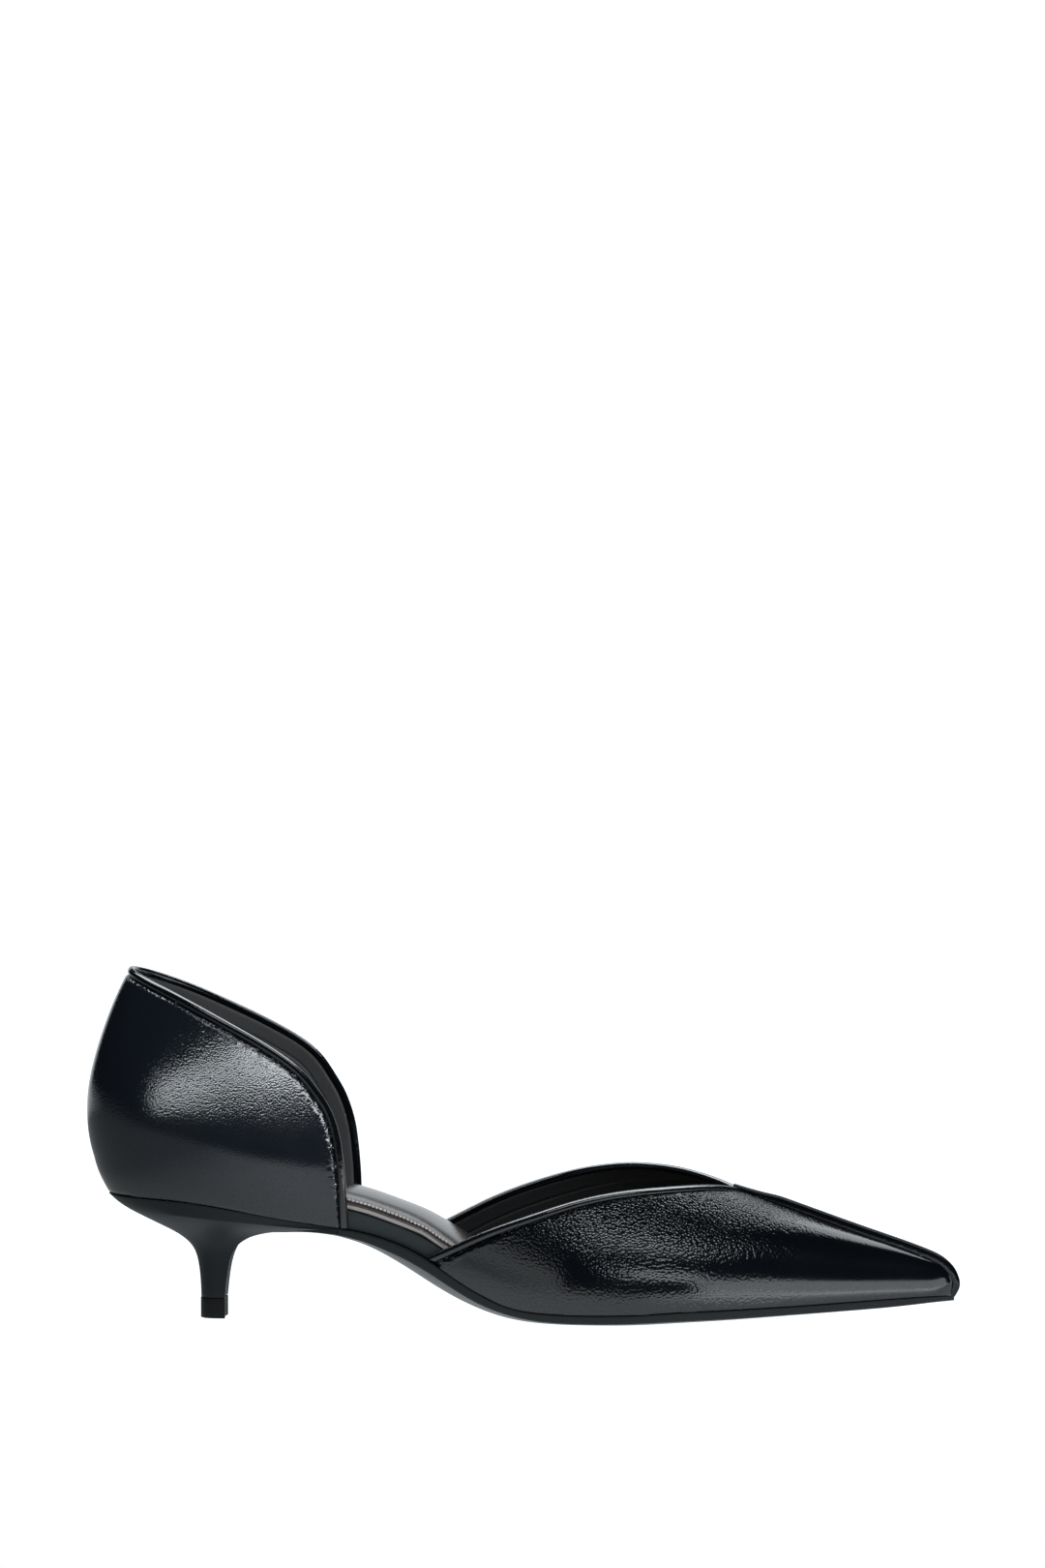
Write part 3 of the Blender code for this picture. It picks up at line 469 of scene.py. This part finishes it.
# The cup's calf is stretched over its stiffener, so its pebbles are finer than the vamp's
cup_calf = black_calf("black_calf_heel_cup", 0.55 * MM, 0.0, 0.45)
vamp_calf = black_calf("black_calf_vamp", 0.9 * MM, 0.3, 0.9)
rolled_calf = binding_calf("rolled_calf_binding", 0.55)
beaded_calf = binding_calf("beaded_calf_seam", 0.3)
black_lining = lining()


# The quarter and the vamp: leather walls with a lining, rounded where they meet their rolled edges


puckers = bpy.data.textures.new("puckers", "CLOUDS")
puckers.noise_scale = 1.3 * MM
puckers.noise_depth = 1


def leather_wall(node, roll, middle, squash):
    """One wall of the upper, smoothed, tucked under its roll, gathered beside it and lined."""
    wall = copy_node(node, node + "_leather")
    edge = skin(roll)
    hold_edges(wall, 50, 0.7)
    tuck_under(wall, edge, 0.5 * MM, 1.0 * MM)
    apply_modifier(wall, "SUBSURF", levels=3, render_levels=3)
    line_inside(wall, middle, squash)
    write_gap(wall, edge)
    press(wall, edge, 2.0 * MM, -1.4 * MM)
    press(wall, edge, 3.0 * MM, 0.75 * MM, puckers, THROAT[0])
    return wall


quarter = leather_wall("quarter", "quarter_binding", QUARTER_MIDDLE, (1.0, 1.0, 0.0))
press(quarter, skin("heel"), 1.4 * MM, -0.6 * MM)

vamp = leather_wall("vamp", "vamp_binding", VAMP_MIDDLE, (0.0, 1.0, 1.0))
press(vamp, skin("toe_seam"), 3.6 * MM, -0.45 * MM)
press(vamp, skin("outsole"), 1.0 * MM, -0.4 * MM, until=115 * MM)


# The rolled edges and the bead along the toe


def rolled_edge(node, under=None):
    """A strip of calf rolled over an edge, full and round, its ends and its V at the throat crisp."""
    roll = copy_node(node, node + "_roll")
    if under:
        tuck_under(roll, skin(under), 0.05 * MM, 1.1 * MM)
        shift_faces(roll, lambda face: face.center.x < 69 * MM and face.normal.x < -0.8,
                    (-4.4 * MM, 0.0, 1.0 * MM))
        shift_faces(roll, lambda face: face.normal.z > 0.6 and face.center.x > 78 * MM,
                    (0.0, 0.0, 0.8 * MM))
        shift_faces(roll, lambda face: face.normal.z < -0.8 and face.center.z < 8.4 * MM,
                    (-0.7 * MM, 0.0, -0.6 * MM))
    hold_edges(roll, 70)
    choose(roll, "EDGE", lambda edge: all(
        THROAT[0] < roll.data.vertices[i].co.x < THROAT[1] for i in edge.vertices))
    bpy.ops.transform.edge_crease(value=1.0)
    close()
    apply_modifier(roll, "SUBSURF", levels=3, render_levels=3)
    swell(roll, 0.08 * MM)
    return roll


quarter_roll = rolled_edge("quarter_binding")
vamp_roll = rolled_edge("vamp_binding")
toe_bead = rolled_edge("toe_seam", "vamp")

# The heel cup is drawn up a little, filled out low at the back and carried forward on its far side,
# and the vamp is drawn up on its far side
draw_out((quarter, quarter_roll), (2, 2, 5),
         lambda at: (0.8 * MM * (at.x > 0.9 and at.y > 0.9) - 2.0 * MM * (at.x < 0.1 and at.z < 0.1),
                     0.0, 0.9 * MM * at.z))
draw_out((vamp, vamp_roll, toe_bead), (2, 2, 2),
         lambda at: (0.0, 0.0, 1.4 * MM * (at.x < 0.1 and at.y > 0.9 and at.z > 0.9)))
fit(quarter, "quarter", "upper_leather", cup_calf, black_lining)
fit(vamp, "vamp", "upper_leather", vamp_calf, black_lining)
fit(quarter_roll, "quarter_binding", "binding_leather", rolled_calf)
fit(vamp_roll, "vamp_binding", "binding_leather", rolled_calf)
fit(toe_bead, "toe_seam", "binding_leather", beaded_calf)


# The insole, the sock and its row of stitches


def round_off(piece, crisp, width, segments, angle=40):
    """Smooth a firm piece between its crisp edges, and break those edges with a small round."""
    hold_edges(piece, crisp)
    apply_modifier(piece, "SUBSURF", levels=2, render_levels=2)
    apply_modifier(piece, "BEVEL", width=width, segments=segments, limit_method="ANGLE",
                   angle_limit=math.radians(angle))


insole = copy_node("insole", "insole_wrapped")
round_off(insole, 45, 0.5 * MM, 3, 45)
fit(insole, "insole", "insole_wrap", insole_wrap())

sock = copy_node("sock_lining", "sock")
hold_edges(sock, 35, 0.8)
apply_modifier(sock, "SUBSURF", levels=3, render_levels=3)
sides = [f.vertices for f in sock.data.polygons if abs(f.normal.z) < 0.6]
edge_band = BVHTree.FromPolygons([v.co for v in sock.data.vertices], sides)
padding = sock.vertex_groups.new(name="padding")
for point in sock.data.vertices:
    if point.normal.z > 0.6:
        inside = min(edge_band.find_nearest(point.co)[3] / SOCK_CROWN_REACH, 1.0)
        padding.add([point.index], math.sqrt(1.0 - (1.0 - inside) ** 2), "REPLACE")
apply_modifier(sock, "DISPLACE", vertex_group="padding", strength=SOCK_CROWN, mid_level=0.0)
sock.vertex_groups.remove(sock.vertex_groups["padding"])
pick(sock)
bpy.ops.object.duplicate()
stitch_line = bpy.context.active_object
choose(stitch_line, "FACE", lambda face: face.normal.z > 0.6)
bpy.ops.mesh.inset(thickness=STITCH_INSET, depth=0.0, use_even_offset=True)
bpy.ops.mesh.region_to_loop()
bpy.ops.mesh.duplicate()
bpy.ops.mesh.separate(type="SELECTED")
bpy.ops.object.mode_set(mode="OBJECT")
stitch_path = [one for one in bpy.context.selected_objects if one is not stitch_line][0]
bpy.data.objects.remove(stitch_line)
pick(stitch_path)
bpy.ops.object.convert(target="CURVE")
stitch_path = bpy.context.active_object
stitch_path.data.twist_mode = "Z_UP"
bpy.ops.object.mode_set(mode="EDIT")
bpy.ops.curve.select_all(action="SELECT")
for _ in range(6):
    bpy.ops.curve.smooth()
bpy.ops.object.mode_set(mode="OBJECT")
longest = max(stitch_path.data.splines, key=lambda line: len(line.points))
for line in [one for one in stitch_path.data.splines if one != longest]:
    stitch_path.data.splines.remove(line)

bpy.ops.object.select_all(action="DESELECT")
bpy.ops.mesh.primitive_uv_sphere_add(segments=6, ring_count=4, radius=0.5)
stitches = bpy.context.active_object
stitches.name = "sock_stitches"
bpy.ops.object.mode_set(mode="EDIT")
bpy.ops.mesh.select_all(action="SELECT")
bpy.ops.transform.resize(value=(1.3 * MM, 0.65 * MM, 0.7 * MM))
bpy.ops.transform.translate(value=(0.0, 0.0, 0.15 * MM))
bpy.ops.transform.rotate(value=math.radians(28), orient_axis="Z", center_override=(0, 0, 0))
bpy.ops.object.mode_set(mode="OBJECT")
apply_modifier(stitches, "ARRAY", fit_type="FIT_CURVE", curve=stitch_path, use_relative_offset=False,
               use_constant_offset=True, constant_offset_displace=(STITCH_PITCH, 0, 0))
apply_modifier(stitches, "CURVE", object=stitch_path, deform_axis="POS_X")
bpy.data.objects.remove(stitch_path)
fit(stitches, None, "sock_leather", sock_thread())

write_gap(sock, edge_band)
write_gap(sock, skin("insole"), "rise")
fit(sock, "sock_lining", "sock_leather", sock_leather())


# The sole, the heel and its lift

outsole = copy_node("outsole", "outsole_unit")
shift_faces(outsole, lambda face: face.center.x > 129.8 * MM and face.normal.x > 0.9,
            (1.1 * MM, 0.0, 0.0), 6 * MM)
round_off(outsole, 40, 0.4 * MM, 2)
fit(outsole, "outsole", "sole", sole_unit())

heel = copy_node("heel", "heel_block")
round_off(heel, 40, 0.6 * MM, 3)
draw_out((heel,), (2, 2, 2), lambda at: (-1.6 * MM * (at.x < 0.1 and at.z > 0.9), 0.0, 0.0))
fit(heel, "heel", "heel_cover", heel_cover())

lift = copy_node("top_lift", "lift")
round_off(lift, 35, 0.25 * MM, 2)
fit(lift, "top_lift", "lift_rubber", lift_rubber())


# The studio: a white sweep, soft boxes and the camera

bpy.ops.object.select_all(action="DESELECT")
bpy.ops.mesh.primitive_plane_add(size=1.0)
sweep = bpy.context.active_object
sweep.name = "studio_sweep"
bpy.ops.object.mode_set(mode="EDIT")
bpy.ops.mesh.select_all(action="SELECT")
bpy.ops.transform.resize(value=(SWEEP_WIDE, SWEEP_DEEP, 1.0))
bpy.ops.transform.translate(value=(0.0, SWEEP_DEEP / 2 - SWEEP_FRONT, -SWEEP_DROP))
bpy.ops.object.mode_set(mode="OBJECT")
choose(sweep, "EDGE", lambda edge: all(sweep.data.vertices[i].co.y > 1.0 for i in edge.vertices))
bpy.ops.mesh.extrude_region_move(TRANSFORM_OT_translate={"value": (0.0, 0.0, SWEEP_TALL)})
close()
apply_modifier(sweep, "BEVEL", width=SWEEP_CURVE, segments=24, limit_method="ANGLE",
               angle_limit=math.radians(60))
sweep.data.materials.append(studio_white())
bpy.ops.object.shade_smooth()


def soft_box(name, turn, lift, away, wide, tall, power, on=(), tilt=0.0):
    """A soft box aimed at the shoe: turned from the front to the toe and lifted, in degrees.

    Where pieces are named, the others are flagged off from it.
    """
    turn, lift = math.radians(turn), math.radians(lift)
    out = Vector((math.sin(turn) * math.cos(lift), -math.cos(turn) * math.cos(lift), math.sin(lift)))
    lamp = bpy.data.objects.new(name, bpy.data.lights.new(name, "AREA"))
    bpy.context.collection.objects.link(lamp)
    lamp.data.shape = "RECTANGLE"
    lamp.data.size = wide
    lamp.data.size_y = tall
    lamp.data.energy = power
    lamp.data.color = colour(LAMP_WHITE)[:3]
    lamp.location = SHOE_MIDDLE + out * away
    aim = (-out).to_track_quat("-Z", "Y") @ Quaternion((0.0, 0.0, 1.0), math.radians(tilt))
    lamp.rotation_euler = aim.to_euler()
    lamp.visible_camera = False
    if on:
        lamp.light_linking.receiver_collection = bpy.data.collections.new(name + "_falls_on")
        for piece in on:
            lamp.light_linking.receiver_collection.objects.link(piece)


soft_box("low_front_box", -4, 11.2, 1.5, 2.8, 0.14, 21, on=(quarter,), tilt=4)
soft_box("front_edge_box", 24, 22, 1.5, 1.4, 0.45, 26, on=(quarter,))
soft_box("low_side_box", 20, 13, 1.5, 1.0, 0.14, 1.9, on=(vamp,))
soft_box("waist_box", -42, -1, 1.2, 0.6, 0.3, 0.5, on=(vamp,))
soft_box("toe_box", 56, 2, 1.2, 0.85, 0.35, 2.3, on=(vamp,))
soft_box("crest_box", 180, 75, 1.3, 2.0, 1.0, 58, on=(quarter, quarter_roll, vamp_roll))
soft_box("high_front_box", 13, 47, 1.3, 1.35, 0.4, 7.6)
soft_box("high_back_box", 155, 48, 1.3, 0.9, 0.45, 4.2)

# The room round the set is dark, and what shows of it behind the sweep is white
world = bpy.data.worlds.new("studio_room")
bpy.context.scene.world = world
world.use_nodes = True
room = world.node_tree
seen = put(room, "LightPath", {}).outputs["Is Camera Ray"]
wall_white = put(room, "Mix", {"Factor": seen, "A": colour("#0A0A0B"), "B": colour("#FFFFFF")},
                 data_type="RGBA")
room.links.new(wall_white.outputs["Result"], room.nodes["Background"].inputs["Color"])

drop = math.atan((SHOE_PX[1] - PHOTO_TALL / 2) / PX_PER_M / FAR)
aside = (PHOTO_WIDE / 2 - SHOE_PX[0]) / PX_PER_M
tall = PHOTO_TALL / PX_PER_M * math.cos(drop)
view = Vector((-math.sin(TURN) * math.cos(LIFT), math.cos(TURN) * math.cos(LIFT), -math.sin(LIFT)))
camera = bpy.data.objects.new("camera", bpy.data.cameras.new("camera"))
bpy.context.collection.objects.link(camera)
camera.data.sensor_width = FILM
camera.data.lens = FILM * FAR / tall
camera.location = SHOE_MIDDLE - view * FAR + Vector((math.cos(TURN), math.sin(TURN), 0.0)) * aside
camera.rotation_euler = (math.pi / 2 - LIFT + drop, 0.0, TURN)
bpy.context.scene.camera = camera
bpy.context.scene.view_settings.view_transform = "Standard"
